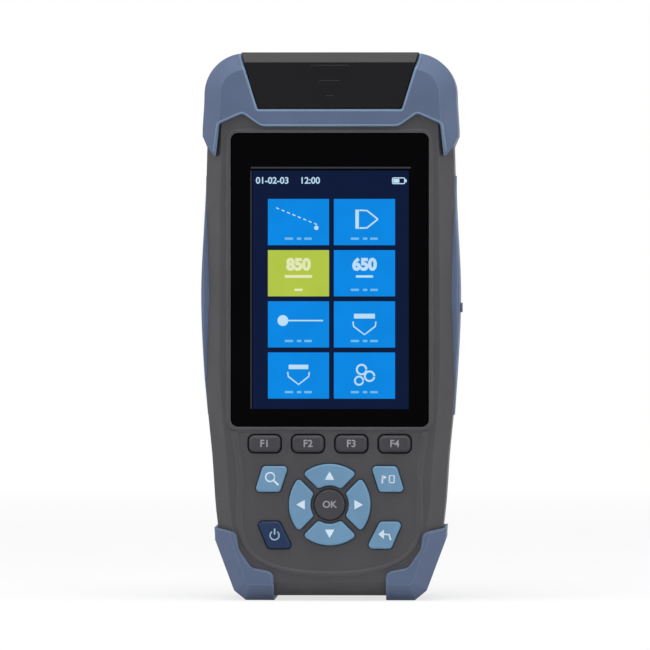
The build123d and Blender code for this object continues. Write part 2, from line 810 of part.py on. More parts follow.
# Dust cover: a front flap, a top plate and two hinge knuckles at the rear
cover_low = cover_foot + cover_clear
knuckle_end = hinge_end_lug - cover_clear
knuckle_start = hinge_lug_half + cover_clear
with BuildPart() as dust_cover:
    with BuildSketch(Plane.YZ):
        with BuildLine():
            Polyline((cover_face_y, cover_low), (cover_face_y, cover_top - cover_bevel_height),
                     (cover_face_y + cover_bevel_depth, cover_top),
                     (cover_hinge_y - cover_rear_slope, cover_top),
                     (cover_hinge_y + hinge_barrel_r * 0.7, cover_hinge_z + hinge_barrel_r * 0.7),
                     (cover_hinge_y, cover_hinge_z),
                     (cover_hinge_y - hinge_barrel_r * 0.9, cover_hinge_z + hinge_barrel_r * 0.42),
                     (cover_hinge_y - cover_web, cover_under), (cover_flap_back, cover_under),
                     (cover_flap_back, cover_low), close=True)
        make_face()
    extrude(amount=cover_top_half, both=True)
    add(cover_wedge(-beyond, beyond, cover_foot, 0), mode=Mode.INTERSECT)
    fillet(dust_cover.edges().filter_by(Axis.Y).group_by(Axis.Z)[0], cover_corner)
    with BuildSketch(Plane.YZ):
        with Locations((cover_hinge_y, cover_hinge_z)):
            Circle(hinge_barrel_r)
    extrude(amount=knuckle_end, both=True)
    for low, high in ((-beyond, -knuckle_end), (-knuckle_start, knuckle_start), (knuckle_end, beyond)):
        add(block((low, high), (cover_hinge_y - cover_rear_relief, beyond),
                  (cover_hinge_z - cover_web, beyond)), mode=Mode.SUBTRACT)
        add(rod((low, cover_hinge_y, cover_hinge_z), (1, 0, 0), hinge_barrel_r + cover_clear,
                high - low), mode=Mode.SUBTRACT)
    add(rod((-cover_top_half, cover_hinge_y, cover_hinge_z), (1, 0, 0), hinge_pin_r + running_clear,
            2 * cover_top_half), mode=Mode.SUBTRACT)
    with BuildSketch(front_view(cover_face_y)):
        for bar_width, bar_height, bar_drop in cover_bars:
            with Locations((0, cover_top - bar_drop)):
                RectangleRounded(bar_width, bar_height, cover_bar_corner)
        with BuildLine():
            arrow_top = cover_top - cover_arrow_drop
            Polyline((-cover_arrow_half, arrow_top), (cover_arrow_half, arrow_top),
                     (0, arrow_top - cover_arrow_height), close=True)
        make_face()
    extrude(amount=cover_mark_height)
dust_cover.part.label = "dust_cover"
export_step(dust_cover.part, "parts/dust_cover.step")

# Kickstand: a plate with a sunk panel, on a hinge barrel
stand_plate_half = stand_half - stand_clear
with BuildPart() as kickstand:
    with BuildSketch(front_view(stand_plate_y)) as plate:
        with Locations((0, (stand_bottom + stand_hinge_z) / 2)):
            Rectangle(2 * stand_plate_half, stand_hinge_z - stand_bottom)
        fillet(plate.vertices().group_by(Axis.Z)[0], stand_corner)
    extrude(amount=-stand_thick)
    add(rod((-stand_plate_half, stand_hinge_y, stand_hinge_z), (1, 0, 0), stand_barrel_r,
            2 * stand_plate_half))
    panel_low = stand_bottom + stand_panel_foot
    panel_high = stand_hinge_z - stand_panel_head
    with BuildSketch(front_view(stand_plate_y + stand_thick)):
        with Locations((0, (panel_low + panel_high) / 2)):
            RectangleRounded(2 * (stand_half - stand_panel_inset), panel_high - panel_low, stand_corner)
    extrude(amount=stand_panel_depth, mode=Mode.SUBTRACT)
    add(rod((-stand_half, stand_hinge_y, stand_hinge_z), (1, 0, 0), stand_pin_r + running_clear,
            2 * stand_half), mode=Mode.SUBTRACT)
kickstand.part.label = "kickstand"
export_step(kickstand.part, "parts/kickstand.step")

# Side port cover: a soft door that carries on the bulge of the grip, with a thumb tab in front.
# It swings on its outer rear edge.
with BuildPart() as side_port_cover:
    extrude(door_outline(door_face - door_thick, 0), amount=case_depth)
    add(skin, mode=Mode.INTERSECT)
    add(block((door_face - door_thick, door_face + tab_reach), (door_front, door_front + tab_depth),
              (door_middle - tab_height / 2, door_middle + tab_height / 2)))
side_port_cover.part.label = "side_port_cover"
export_step(side_port_cover.part, "parts/side_port_cover.step")

# Network sockets: plain shielded bodies with an open mouth towards the side
jack_middle_y = main_board_rear + jack_height / 2
jack_roof_y = jack_middle_y + jack_mouth_height / 2
for socket_name, socket_z in (("lower_network_socket", lower_jack_z),
                              ("upper_network_socket", upper_jack_z)):
    mouth_x = (socket_x - jack_mouth_depth, socket_x)
    with BuildPart() as socket:
        add(block((socket_x - jack_depth, socket_x), (main_board_rear, main_board_rear + jack_height),
                  (socket_z - jack_width / 2, socket_z + jack_width / 2)))
        add(block(mouth_x, (jack_roof_y - jack_mouth_height, jack_roof_y),
                  (socket_z - jack_mouth_width / 2, socket_z + jack_mouth_width / 2)),
            mode=Mode.SUBTRACT)
        add(block(mouth_x, (jack_roof_y, jack_roof_y + jack_latch_height),
                  (socket_z - jack_latch_width / 2, socket_z + jack_latch_width / 2)),
            mode=Mode.SUBTRACT)
    socket.part.label = socket_name
    export_step(socket.part, f"parts/{socket_name}.step")

# Charging socket: a thin oval shell with a tongue in it
usb_y = main_board_rear + usb_height / 2
with BuildPart() as charging_socket:
    with BuildSketch(Plane.YZ.offset(socket_x)):
        with Locations((usb_y, usb_z)):
            RectangleRounded(usb_height, usb_width, usb_corner)
            RectangleRounded(usb_height - 2 * usb_wall, usb_width - 2 * usb_wall, usb_corner - usb_wall,
                             mode=Mode.SUBTRACT)
    extrude(amount=-usb_depth)
    with BuildSketch(Plane.YZ.offset(socket_x - usb_depth)):
        with Locations((usb_y, usb_z)):
            RectangleRounded(usb_height, usb_width, usb_corner)
    extrude(amount=usb_back)
    add(block((socket_x - usb_depth, socket_x - usb_back),
              (usb_y - usb_tongue_thick / 2, usb_y + usb_tongue_thick / 2),
              (usb_z - usb_width / 2 + usb_tongue_inset, usb_z + usb_width / 2 - usb_tongue_inset)))
charging_socket.part.label = "charging_socket"
export_step(charging_socket.part, "parts/charging_socket.step")

# Battery pack and its door
with BuildPart() as battery_pack:
    add(block((-battery_half, battery_half), (battery_rear - battery_thick, battery_rear),
              (battery_bottom, battery_top)))
    fillet(battery_pack.edges().filter_by(Axis.Z), battery_corner)
battery_pack.part.label = "battery_pack"
export_step(battery_pack.part, "parts/battery_pack.step")

with BuildPart() as battery_door:
    add(block((-battery_door_half, battery_door_half), (battery_door_front, battery_door_rear),
              (battery_bottom - battery_door_lip, battery_top + battery_door_lip)))
    for x, z in both_sides(battery_screws):
        add(post(x, z, screw_r + screw_hole_clear, battery_door_front, battery_door_rear),
            mode=Mode.SUBTRACT)
        add(post(x, z, screw_head_r + screw_hole_clear, battery_door_rear - screw_head_thick,
                 battery_door_rear), mode=Mode.SUBTRACT)
battery_door.part.label = "battery_door"
export_step(battery_door.part, "parts/battery_door.step")

# Window, display module, its bracket and its ribbon cable
with BuildPart() as screen_window:
    extrude(window_outline(face_y + window_sunk, 0), amount=-window_thick)
    chamfer(screen_window.faces().sort_by(Axis.Y)[0].edges(), window_chamfer)
screen_window.part.label = "screen_window"
export_step(screen_window.part, "parts/screen_window.step")

with BuildPart() as display_module:
    with BuildSketch(front_view(display_y)):
        with Locations((0, (display_bottom + display_top) / 2)):
            RectangleRounded(2 * display_half, display_top - display_bottom, display_corner)
    extrude(amount=-display_thick)
display_module.part.label = "display_module"
export_step(display_module.part, "parts/display_module.step")

with BuildPart() as display_bracket:
    add(block((-bracket_half, bracket_half), (bracket_y, bracket_y_rear),
              (display_bottom + bracket_over, display_top - bracket_over)))
    add(block((-bracket_window_half, bracket_window_half), (bracket_y, bracket_y_rear),
              (display_bottom + bracket_window_inset, display_top - bracket_window_inset)),
        mode=Mode.SUBTRACT)
    for x, z in both_sides(bracket_posts):
        add(post(x, z, screw_r + screw_hole_clear, bracket_y, bracket_y_rear), mode=Mode.SUBTRACT)
    for x, z in both_sides(main_board_posts):
        add(post(x, z, post_r, bracket_y_rear, main_board_front))
        add(post(x, z, screw_r, main_board_front - screw_bite - screw_hole_spare, main_board_front),
            mode=Mode.SUBTRACT)
display_bracket.part.label = "display_bracket"
export_step(display_bracket.part, "parts/display_bracket.step")

ribbon_front = bracket_y - display_thick / 2
ribbon_rear = main_board_front - ribbon_back
with BuildPart() as display_cable:
    with BuildSketch(Plane.YZ):
        with BuildLine():
            Polyline((ribbon_front, display_bottom), (ribbon_front, display_bottom - ribbon_drop),
                     (ribbon_rear, display_bottom - ribbon_drop),
                     (ribbon_rear, display_bottom + ribbon_rise),
                     (ribbon_rear - ribbon_thick, display_bottom + ribbon_rise),
                     (ribbon_rear - ribbon_thick, display_bottom - ribbon_drop + ribbon_thick),
                     (ribbon_front + ribbon_thick, display_bottom - ribbon_drop + ribbon_thick),
                     (ribbon_front + ribbon_thick, display_bottom), close=True)
        make_face()
    extrude(amount=ribbon_half, both=True)
    add(block((-ribbon_plug_half, ribbon_plug_half), (ribbon_rear, main_board_front),
              (display_bottom + ribbon_rise - ribbon_plug_height, display_bottom + ribbon_rise)))
display_cable.part.label = "display_cable"
export_step(display_cable.part, "parts/display_cable.step")

# Boards
for board_name, half, low, high, front, thick, places in (
        ("main_board", main_board_half, main_board_bottom, main_board_top, main_board_front,
         main_board_thick, main_board_posts),
        ("keypad_board", keypad_board_half, keypad_board_bottom, keypad_board_top, keypad_board_y,
         keypad_board_thick, keypad_posts)):
    with BuildPart() as board:
        add(block((-half, half), (front, front + thick), (low, high)))
        for x, z in both_sides(places):
            add(post(x, z, screw_r + screw_hole_clear, front, front + thick), mode=Mode.SUBTRACT)
    board.part.label = board_name
    export_step(board.part, f"parts/{board_name}.step")

with BuildPart() as board_connector:
    add(block((-link_half, link_half), (keypad_board_rear, main_board_front),
              (link_bottom, link_bottom + link_height)))
board_connector.part.label = "board_connector"
export_step(board_connector.part, "parts/board_connector.step")

# Dome switches under the keys' stems, and the membrane that covers them
with BuildPart() as dome_switches:
    for outline_at, (stem_x, stem_z), lip, gap, edge in keys.values():
        with BuildSketch(front_view(keypad_board_y)):
            with Locations((stem_x, stem_z)):
                Circle(dome_r)
        extrude(amount=dome_height, taper=dome_slope)
dome_switches.part.label = "dome_switches"
export_step(dome_switches.part, "parts/dome_switches.step")


def membrane_outline(y, inset):
    with BuildSketch(front_view(y)) as outline:
        with BuildLine():
            Polyline((0, membrane_foot + inset), (membrane_foot_half - inset / 2, membrane_foot + inset),
                     (membrane_half - inset, membrane_knee + inset / 2),
                     (membrane_half - inset, membrane_top - inset), (0, membrane_top - inset))
            mirror(about=Plane.YZ)
        make_face()
    return outline.sketch


with BuildPart() as keypad_membrane:
    extrude(membrane_outline(membrane_y, 0), amount=-membrane_depth)
    extrude(membrane_outline(membrane_y + membrane_thick, membrane_rim), amount=-membrane_depth,
            mode=Mode.SUBTRACT)
    for outline_at, (stem_x, stem_z), lip, gap, edge in keys.values():
        add(post(stem_x, stem_z, stem_r + membrane_hole, membrane_y, membrane_y + membrane_thick),
            mode=Mode.SUBTRACT)
keypad_membrane.part.label = "keypad_membrane"
export_step(keypad_membrane.part, "parts/keypad_membrane.step")

with BuildPart() as optical_module:
    add(block((module_left, module_left + module_width),
              (main_board_rear, main_board_rear + module_depth),
              (module_bottom, module_bottom + module_height)))
    chamfer(optical_module.faces().sort_by(Axis.Y)[-1].edges(), module_chamfer)
optical_module.part.label = "optical_module"
export_step(optical_module.part, "parts/optical_module.step")

with BuildPart() as buzzer:
    add(post(buzzer_x, buzzer_z, buzzer_r, main_board_rear, main_board_rear + buzzer_depth))
    add(post(buzzer_x, buzzer_z, buzzer_hole_r, main_board_rear + buzzer_depth - overcut,
             main_board_rear + buzzer_depth), mode=Mode.SUBTRACT)
buzzer.part.label = "buzzer"
export_step(buzzer.part, "parts/buzzer.step")

# Port plate, and the three optical ports that stand on it
with BuildPart() as port_plate:
    add(block((-port_plate_half, port_plate_half), (port_plate_near, port_plate_far),
              (bay_floor, plate_top)))
    for x in port_places:
        add(rod((x, 0, bay_floor), (0, 0, 1), adapter_root_r + fit_clear, port_plate_thick),
            mode=Mode.SUBTRACT)
    for x, y in plate_screws:
        add(rod((x, y, bay_floor), (0, 0, 1), screw_r + screw_hole_clear, port_plate_thick),
            mode=Mode.SUBTRACT)
port_plate.part.label = "port_plate"
export_step(port_plate.part, "parts/port_plate.step")

port_height = port_top - plate_top
with BuildPart() as reflectometer_adapter:
    add(block((port_pitch - flange_side / 2, port_pitch + flange_side / 2),
              (-flange_side / 2, flange_side / 2), (plate_top, plate_top + flange_thick)))
    add(rod((port_pitch, 0, plate_top - adapter_root), (0, 0, 1), adapter_root_r, adapter_root))
    add(rod((port_pitch, 0, plate_top), (0, 0, 1), reflectometer_barrel_r, port_height))
    add(rod((port_pitch, 0, plate_top), (0, 0, 1), reflectometer_bore_r, port_height),
        mode=Mode.SUBTRACT)
reflectometer_adapter.part.label = "reflectometer_adapter"
export_step(reflectometer_adapter.part, "parts/reflectometer_adapter.step")

with BuildPart() as reflectometer_sleeve:
    add(rod((port_pitch, 0, plate_top), (0, 0, 1), sleeve_r, port_height - sleeve_drop))
    add(rod((port_pitch, 0, plate_top + ferrule_floor), (0, 0, 1), ferrule_r, port_height),
        mode=Mode.SUBTRACT)
reflectometer_sleeve.part.label = "reflectometer_sleeve"
export_step(reflectometer_sleeve.part, "parts/reflectometer_sleeve.step")

for adapter_name, x, body_r in (("power_meter_adapter", -port_pitch, power_meter_r),
                                ("fault_locator_adapter", 0, fault_locator_r)):
    with BuildPart() as adapter:
        add(rod((x, 0, plate_top - adapter_root), (0, 0, 1), adapter_root_r, adapter_root))
        add(rod((x, 0, plate_top), (0, 0, 1), body_r, port_height - short_port_drop))
        add(rod((x, 0, plate_top + ferrule_floor), (0, 0, 1), ferrule_r, port_height),
            mode=Mode.SUBTRACT)
    adapter.part.label = adapter_name
    export_step(adapter.part, f"parts/{adapter_name}.step")

# Screws: a head's place, the way that the shank runs and its length
forward = (0, -1, 0)
small = (screw_r, screw_head_r, screw_head_thick)
screw_sets = {
    "board_screws": [((x, y, z), forward, thick + screw_bite, small)
                     for places, y, thick in ((keypad_posts, keypad_board_rear, keypad_board_thick),
                                              (bracket_posts, bracket_y_rear, bracket_thick),
                                              (main_board_posts, main_board_rear, main_board_thick))
                     for x, z in both_sides(places)],
    "port_plate_screws": [((x, y, plate_top), (0, 0, -1), port_plate_thick + floor_thick, small)
                          for x, y in plate_screws],
    "battery_door_screws": [((x, battery_door_rear - screw_head_thick, z), forward,
                             battery_door_rear - screw_head_thick - stand_pad_y, small)
                            for x, z in both_sides(battery_screws)],
    "case_screws": [((x, back_y - case_screw_sink, z), forward,
                     back_y - case_screw_sink - parting_y + case_screw_bite,
                     (case_screw_r, case_screw_head_r, case_screw_head_thick))
                    for x, z in both_sides(case_bosses)],
}
for set_name, places in screw_sets.items():
    with BuildPart() as screws:
        for head_place, direction, shank_length, (shank_r, head_r, head_thick) in places:
            add(screw(head_place, direction, shank_length, shank_r, head_r, head_thick))
    screws.part.label = set_name
    export_step(screws.part, f"parts/{set_name}.step")
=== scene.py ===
import math

import bmesh
import bpy
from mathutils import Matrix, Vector
from mathutils.bvhtree import BVHTree


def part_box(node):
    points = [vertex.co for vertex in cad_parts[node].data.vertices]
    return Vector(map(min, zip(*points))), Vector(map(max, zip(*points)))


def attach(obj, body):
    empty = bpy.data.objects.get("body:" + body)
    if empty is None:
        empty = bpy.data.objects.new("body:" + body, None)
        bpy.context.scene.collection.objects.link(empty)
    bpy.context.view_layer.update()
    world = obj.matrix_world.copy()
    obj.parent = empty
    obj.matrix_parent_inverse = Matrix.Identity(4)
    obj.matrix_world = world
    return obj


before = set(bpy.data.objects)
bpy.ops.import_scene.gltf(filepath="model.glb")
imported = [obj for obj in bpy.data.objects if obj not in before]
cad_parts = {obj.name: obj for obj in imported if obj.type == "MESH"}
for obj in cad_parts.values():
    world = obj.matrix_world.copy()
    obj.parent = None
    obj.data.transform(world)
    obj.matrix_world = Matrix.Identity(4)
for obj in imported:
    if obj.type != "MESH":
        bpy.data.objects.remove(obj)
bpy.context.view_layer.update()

MM = 0.001
HOUSING = "housing"


# Colours are written as they look on a screen, each channel from 0 to 255, and turned into light values here
def light_value(channel):
    channel /= 255
    return channel / 12.92 if channel <= 0.04045 else ((channel + 0.055) / 1.055) ** 2.4


def colour(red, green, blue):
    return (light_value(red), light_value(green), light_value(blue), 1.0)


def shade(rgba, factor):
    return tuple(min(1.0, channel * factor) for channel in rgba[:3]) + (1.0,)


# Materials: names that end in _MM are sizes of patterns, the others shares of a colour or of roughness
DRIFT_MM, WEAR_AND_HIGHLIGHT_MM, SHEEN_MM = 14, 2.5, 5
COLOUR_DRIFT = 0.06
# edges are painted lighter by this share, partly as wear and partly as a painted highlight
WEAR_AND_HIGHLIGHT_LIGHTER = 1.5
TONE_MM, TONE_DARKER = 6, 0.88
SCRATCH_MM, SCRATCH_DEPTH_MM = 0.4, 0.0015
METAL_EDGE_MM = 0.12
BACKLIGHT_MM, BACKLIGHT_DARKER = 9, 0.93
DISPLAY_ROUGHNESS, DISPLAY_STRAY = 0.2, 0.04
EDGE_SAMPLES = 6


def combine(nodes, links, operation, first, second):
    """What a math node makes of two other nodes' outputs."""
    node = nodes.new("ShaderNodeMath")
    node.operation = operation
    links.new(first, node.inputs[0])
    links.new(second, node.inputs[1])
    return node.outputs[0]


class Material:
    """A node material whose shader is ready, with short calls for what is linked to it."""

    def __init__(self, name, roughness, specular, metallic=0.0):
        self.data = bpy.data.materials.new(name)
        self.data.use_nodes = True
        self.nodes = self.data.node_tree.nodes
        self.links = self.data.node_tree.links
        self.shader = self.nodes["Principled BSDF"]
        self.shader.inputs["Roughness"].default_value = roughness
        self.shader.inputs["Specular IOR Level"].default_value = specular
        self.shader.inputs["Metallic"].default_value = metallic
        self.where = self.nodes.new("ShaderNodeTexCoord").outputs["Object"]

    def noise(self, size_mm, detail=2.0):
        texture = self.nodes.new("ShaderNodeTexNoise")
        texture.inputs["Scale"].default_value = 1 / (size_mm * MM)
        texture.inputs["Detail"].default_value = detail
        self.links.new(self.where, texture.inputs["Vector"])
        return texture.outputs["Fac"]

    def spread(self, value, low, high, start=0.3, end=0.7):
        """The value drawn out so that start becomes low and end becomes high."""
        ranged = self.nodes.new("ShaderNodeMapRange")
        for socket, number in zip(("From Min", "From Max", "To Min", "To Max"), (start, end, low, high)):
            ranged.inputs[socket].default_value = number
        self.links.new(value, ranged.inputs["Value"])
        return ranged.outputs["Result"]

    def mix(self, factor, first, second):
        """A blend of two colours, each a tuple or another node's output."""
        mixed = self.nodes.new("ShaderNodeMix")
        mixed.data_type = "RGBA"
        self.links.new(factor, mixed.inputs["Factor"])
        for socket, value in ((mixed.inputs[6], first), (mixed.inputs[7], second)):
            if isinstance(value, tuple):
                socket.default_value = value
            else:
                self.links.new(value, socket)
        return mixed.outputs[2]

    def edge_mask(self, radius_mm, sharpest=0.86, flattest=0.995):
        """1 along edges within the radius, 0 on open faces and at slight bends; also the rounded normal."""
        bevel = self.nodes.new("ShaderNodeBevel")
        bevel.samples = EDGE_SAMPLES
        bevel.inputs["Radius"].default_value = radius_mm * MM
        facing = self.nodes.new("ShaderNodeNewGeometry")
        alike = self.nodes.new("ShaderNodeVectorMath")
        alike.operation = "DOT_PRODUCT"
        self.links.new(bevel.outputs["Normal"], alike.inputs[0])
        self.links.new(facing.outputs["Normal"], alike.inputs[1])
        return self.spread(alike.outputs["Value"], 1.0, 0.0, sharpest, flattest), bevel.outputs["Normal"]

    def bump(self, height, depth_mm, normal=None):
        bump = self.nodes.new("ShaderNodeBump")
        bump.inputs["Distance"].default_value = depth_mm * MM
        bump.inputs["Strength"].default_value = 1.0
        self.links.new(height, bump.inputs["Height"])
        if normal:
            self.links.new(normal, bump.inputs["Normal"])
        return bump.outputs["Normal"]

    def set(self, socket, value):
        self.links.new(value, self.shader.inputs[socket])


def moulded(name, base, roughness, grain_mm=0.35, grain_depth_mm=0.02, wear_and_highlight=None, round_mm=0.25,
            specular=0.15, wear_and_highlight_range=(0.25, 0.8), edge=(0.86, 0.995), patchy=0.06):
    """Moulded plastic or rubber: fine grain, slow colour drift, and edges painted a little lighter, partly
    as wear and partly as a painted highlight.

    rub is the range of noise over which the lighter edges, wear and painted highlight alike, set in, edge
    the sharpest and flattest bend that counts as an edge, and patchy how far the roughness strays."""
    made = Material(name, roughness, specular)
    worn_and_lit_edges, rounded = made.edge_mask(round_mm, *edge)
    slow = made.spread(made.noise(DRIFT_MM), 0, 1)
    body = made.mix(slow, shade(base, 1 - COLOUR_DRIFT), shade(base, 1 + COLOUR_DRIFT))
    wear_and_highlight_noise = made.spread(made.noise(WEAR_AND_HIGHLIGHT_MM, 4), *wear_and_highlight_range)
    # edges painted lighter: partly wear, partly a painted highlight where light catches them
    wear_and_highlight_patch = combine(made.nodes, made.links, "MULTIPLY", worn_and_lit_edges, wear_and_highlight_noise)
    made.set("Base Color", made.mix(wear_and_highlight_patch, body, wear_and_highlight or shade(base, WEAR_AND_HIGHLIGHT_LIGHTER)))
    made.set("Roughness", made.spread(made.noise(SHEEN_MM, 3), roughness - patchy, roughness + patchy))
    made.set("Normal", made.bump(made.noise(grain_mm, 3), grain_depth_mm, rounded))
    return made.data


def metal(name, base, roughness):
    """Satin metal with fine scratches, a slow change of tone and rounded edges."""
    made = Material(name, roughness, 0.5, 1.0)
    rounded = made.edge_mask(METAL_EDGE_MM)[1]
    made.set("Base Color", made.mix(made.spread(made.noise(TONE_MM), 0, 1), shade(base, TONE_DARKER), base))
    made.set("Roughness", made.spread(made.noise(SCRATCH_MM, 3), roughness - 0.08, roughness + 0.1))
    made.set("Normal", made.bump(made.noise(SCRATCH_MM, 3), SCRATCH_DEPTH_MM, rounded))
    return made.data


def lit(name, glow, strength=1.0):
    """A patch of the lit display: it glows, with the slight unevenness of a backlight."""
    made = Material(name, DISPLAY_ROUGHNESS, 0.0)
    made.shader.inputs["Base Color"].default_value = (0.004, 0.004, 0.006, 1)
    made.shader.inputs["Emission Strength"].default_value = strength
    made.set("Emission Color", made.mix(made.spread(made.noise(BACKLIGHT_MM), 0, 1),
                                        shade(glow, BACKLIGHT_DARKER), glow))
    made.set("Roughness", made.spread(made.noise(3), DISPLAY_ROUGHNESS - DISPLAY_STRAY,
                                      DISPLAY_ROUGHNESS + DISPLAY_STRAY))
    return made.data


# Between these object x in mm, a socket turns from black plastic inside to a bright plate in front
PLATE_START, PLATE_END = 36.9, 37.3


def socket_finish():
    """The sockets' front plates are bright, and the plastic inside their mouths is black."""
    made = Material("socket_plate", 0.35, 0.5)
    place = made.nodes.new("ShaderNodeSeparateXYZ")
    made.links.new(made.where, place.inputs[0])
    plated = made.spread(place.outputs["X"], 0, 1, PLATE_START * MM, PLATE_END * MM)
    made.set("Metallic", plated)
    made.set("Base Color", made.mix(plated, colour(30, 30, 32), colour(190, 190, 192)))
    made.set("Roughness", made.spread(made.noise(0.5, 3), 0.3, 0.45))
    made.set("Normal", made.bump(made.noise(0.4, 3), 0.006))
    return made.data


def window_finish():
    """Gloss black, with the faintest smears and waves."""
    made = Material("window_gloss", 0.06, 0.02)
    made.set("Base Color", made.mix(made.spread(made.noise(20), 0, 1), (0.0006, 0.0006, 0.0009, 1),
                                    (0.001, 0.001, 0.0014, 1)))
    made.set("Roughness", made.spread(made.noise(12, 4), 0.04, 0.1))
    made.set("Normal", made.bump(made.noise(40), 0.01))
    return made.data


# edges and ridges turn lighter, partly wear and partly a painted highlight that keeps the ridge lines
# showing
case_grey = moulded("case_plastic", colour(72, 71, 74), 0.5, 0.45, 0.03, colour(112, 112, 114), 0.5,
                    wear_and_highlight_range=(0.3, 0.8), edge=(0.8, 0.985))
# the rubber's edges turn a lighter blue, a painted highlight for the light its rolled edges catch
bumper_blue = moulded("bumper_rubber", colour(86, 99, 125), 0.5, 0.3, 0.015, colour(134, 158, 184), 1.2,
                      wear_and_highlight_range=(0.8, 1.0), edge=(0.74, 0.93))
# a lighter blue than the rubber: painted highlight for the light that the top bumper's rolled lips catch
bumper_lip_highlight = moulded("bumper_lip_highlight", colour(111, 133, 159), 0.5, 0.3, 0.01, colour(124, 147, 171))
cover_black = moulded("cover_plastic", colour(10, 8, 12), 0.3, 0.4, 0.008, colour(40, 39, 42), specular=0.17,
                      patchy=0.015)
key_dark = moulded("key_dark", colour(62, 61, 66), 0.45, 0.25, 0.01, colour(96, 95, 100))
key_blue = moulded("key_blue", colour(104, 141, 171), 0.42, 0.25, 0.01, colour(140, 176, 202))
key_navy = moulded("key_navy", colour(31, 49, 80), 0.42, 0.25, 0.01, colour(60, 84, 120))
legend_white = moulded("legend_white", colour(206, 222, 236), 0.5, 0.2, 0.005)
legend_grey = moulded("legend_grey", colour(152, 152, 158), 0.5, 0.2, 0.005)
legend_power = moulded("legend_power", colour(150, 172, 194), 0.5, 0.2, 0.005)
steel = metal("steel", colour(190, 190, 192), 0.35)
nickel = metal("nickel", colour(205, 203, 196), 0.22)
gold = metal("gold", colour(222, 180, 92), 0.25)
anodised = moulded("anodised_plate", colour(44, 44, 48), 0.35, 0.2, 0.01, colour(92, 92, 96), specular=0.5)
board_green = moulded("board_green", colour(24, 92, 56), 0.35, 0.6, 0.03, specular=0.5)
ceramic = moulded("ceramic", colour(236, 234, 226), 0.2, 0.5, 0.003, specular=0.5)
membrane = moulded("membrane_silicone", colour(120, 120, 122), 0.6)
connector_black = moulded("connector_black", colour(34, 34, 36), 0.45)
cable_amber = moulded("cable_amber", colour(178, 112, 40), 0.35)
battery_wrap = moulded("battery_wrap", colour(40, 70, 130), 0.3, 1.2, 0.05, specular=0.5)

socket_plate = socket_finish()
gloss_black = window_finish()

screen_navy = lit("screen_navy", colour(5, 22, 55))
tile_blue = lit("tile_blue", colour(0, 140, 235), 0.95)
tile_lime = lit("tile_lime", colour(184, 205, 72), 0.95)
icon_white = lit("icon_white", colour(196, 230, 252), 0.95)
caption_blue = lit("caption_blue", colour(120, 192, 242), 0.95)
icon_lime = lit("icon_lime", colour(236, 240, 190), 0.95)
# glowing grey for the bezel line: painted light, since the bezel gives no light of its own
bezel_painted_glow = lit("bezel_painted_glow", colour(58, 62, 66), 0.9)


def dress(material, *names):
    """Gives CAD nodes their material."""
    for name in names:
        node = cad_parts[name]
        node.data.materials.clear()
        node.data.materials.append(material)


dress(case_grey, "front_shell", "rear_shell", "battery_door", "kickstand")
dress(bumper_blue, "top_bumper", "left_grip", "right_grip", "lower_left_bumper", "lower_right_bumper",
      "side_port_cover")
dress(cover_black, "dust_cover")
dress(gloss_black, "screen_window", "display_module")
dress(key_dark, "f1_key", "f2_key", "f3_key", "f4_key", "ok_key")
dress(key_blue, "zoom_key", "file_key", "back_key", "up_key", "down_key", "left_key", "right_key")
dress(key_navy, "power_key")
dress(steel, "display_bracket", "dust_cover_pin", "kickstand_pin", "board_screws", "case_screws",
      "battery_door_screws", "port_plate_screws", "dome_switches", "optical_module")
dress(socket_plate, "lower_network_socket", "upper_network_socket", "charging_socket")
dress(nickel, "reflectometer_adapter", "power_meter_adapter", "fault_locator_adapter")
dress(ceramic, "reflectometer_sleeve")
dress(anodised, "port_plate")
dress(board_green, "main_board", "keypad_board")
dress(membrane, "keypad_membrane")
dress(connector_black, "board_connector", "buzzer")
dress(cable_amber, "display_cable")
dress(battery_wrap, "battery_pack")


# Flat marks: thin solids that lie on a surface which faces the user, sunk into it a little; all in mm
SINK = 0.03
LEGEND_THICK = 0.01
CAPITAL_SHARE = 0.7  # a capital's height as a share of the font's size


def arc(x, z, radius, start, end, steps=24):
    """Points of an arc in mm, with angles in degrees."""
    return [(x + radius * math.cos(math.radians(start + (end - start) * i / steps)),
             z + radius * math.sin(math.radians(start + (end - start) * i / steps)))
            for i in range(steps + 1)]


def rounded_box(x, z, width, height, radius):
    """Outline in mm of a rectangle with rounded corners, centred on x and z."""
    points = []
    for sign_x, sign_z, start in ((1, 1, 0), (-1, 1, 90), (-1, -1, 180), (1, -1, 270)):
        points += arc(x + sign_x * (width / 2 - radius), z + sign_z * (height / 2 - radius), radius,
                      start, start + 90, 6)
    return points


def stroke(points, width):
    """Outline of a line of the given width through points, with square ends."""
    left, right = [], []
    for i, point in enumerate(points):
        before, after = points[max(i - 1, 0)], points[min(i + 1, len(points) - 1)]
        along = Vector((after[0] - before[0], after[1] - before[1])).normalized()
        across = Vector((-along.y, along.x)) * width / 2
        left.append((point[0] + across.x, point[1] + across.y))
        right.append((point[0] - across.x, point[1] - across.y))
    return left + right[::-1]


def plates(name, layers, place, material, body):
    """One piece made of flat outlines in mm, each with where it starts and ends across its plane.

    place turns the outline's two numbers and the one across it into x, y and z."""
    mesh = bpy.data.meshes.new(name)
    form = bmesh.new()
    for outline, low, high in layers:
        back = [form.verts.new(Vector(place(*point, low)) * MM) for point in outline]
        front = [form.verts.new(Vector(place(*point, high)) * MM) for point in outline]
        form.faces.new(back)
        form.faces.new(front[::-1])
        for i in range(len(outline)):
            j = (i + 1) % len(outline)
            form.faces.new((back[j], back[i], front[i], front[j]))
    bmesh.ops.recalc_face_normals(form, faces=form.faces)
    form.to_mesh(mesh)
    form.free()
    piece = bpy.data.objects.new(name, mesh)
    bpy.context.collection.objects.link(piece)
    mesh.materials.append(material)
    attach(piece, body)
    return piece


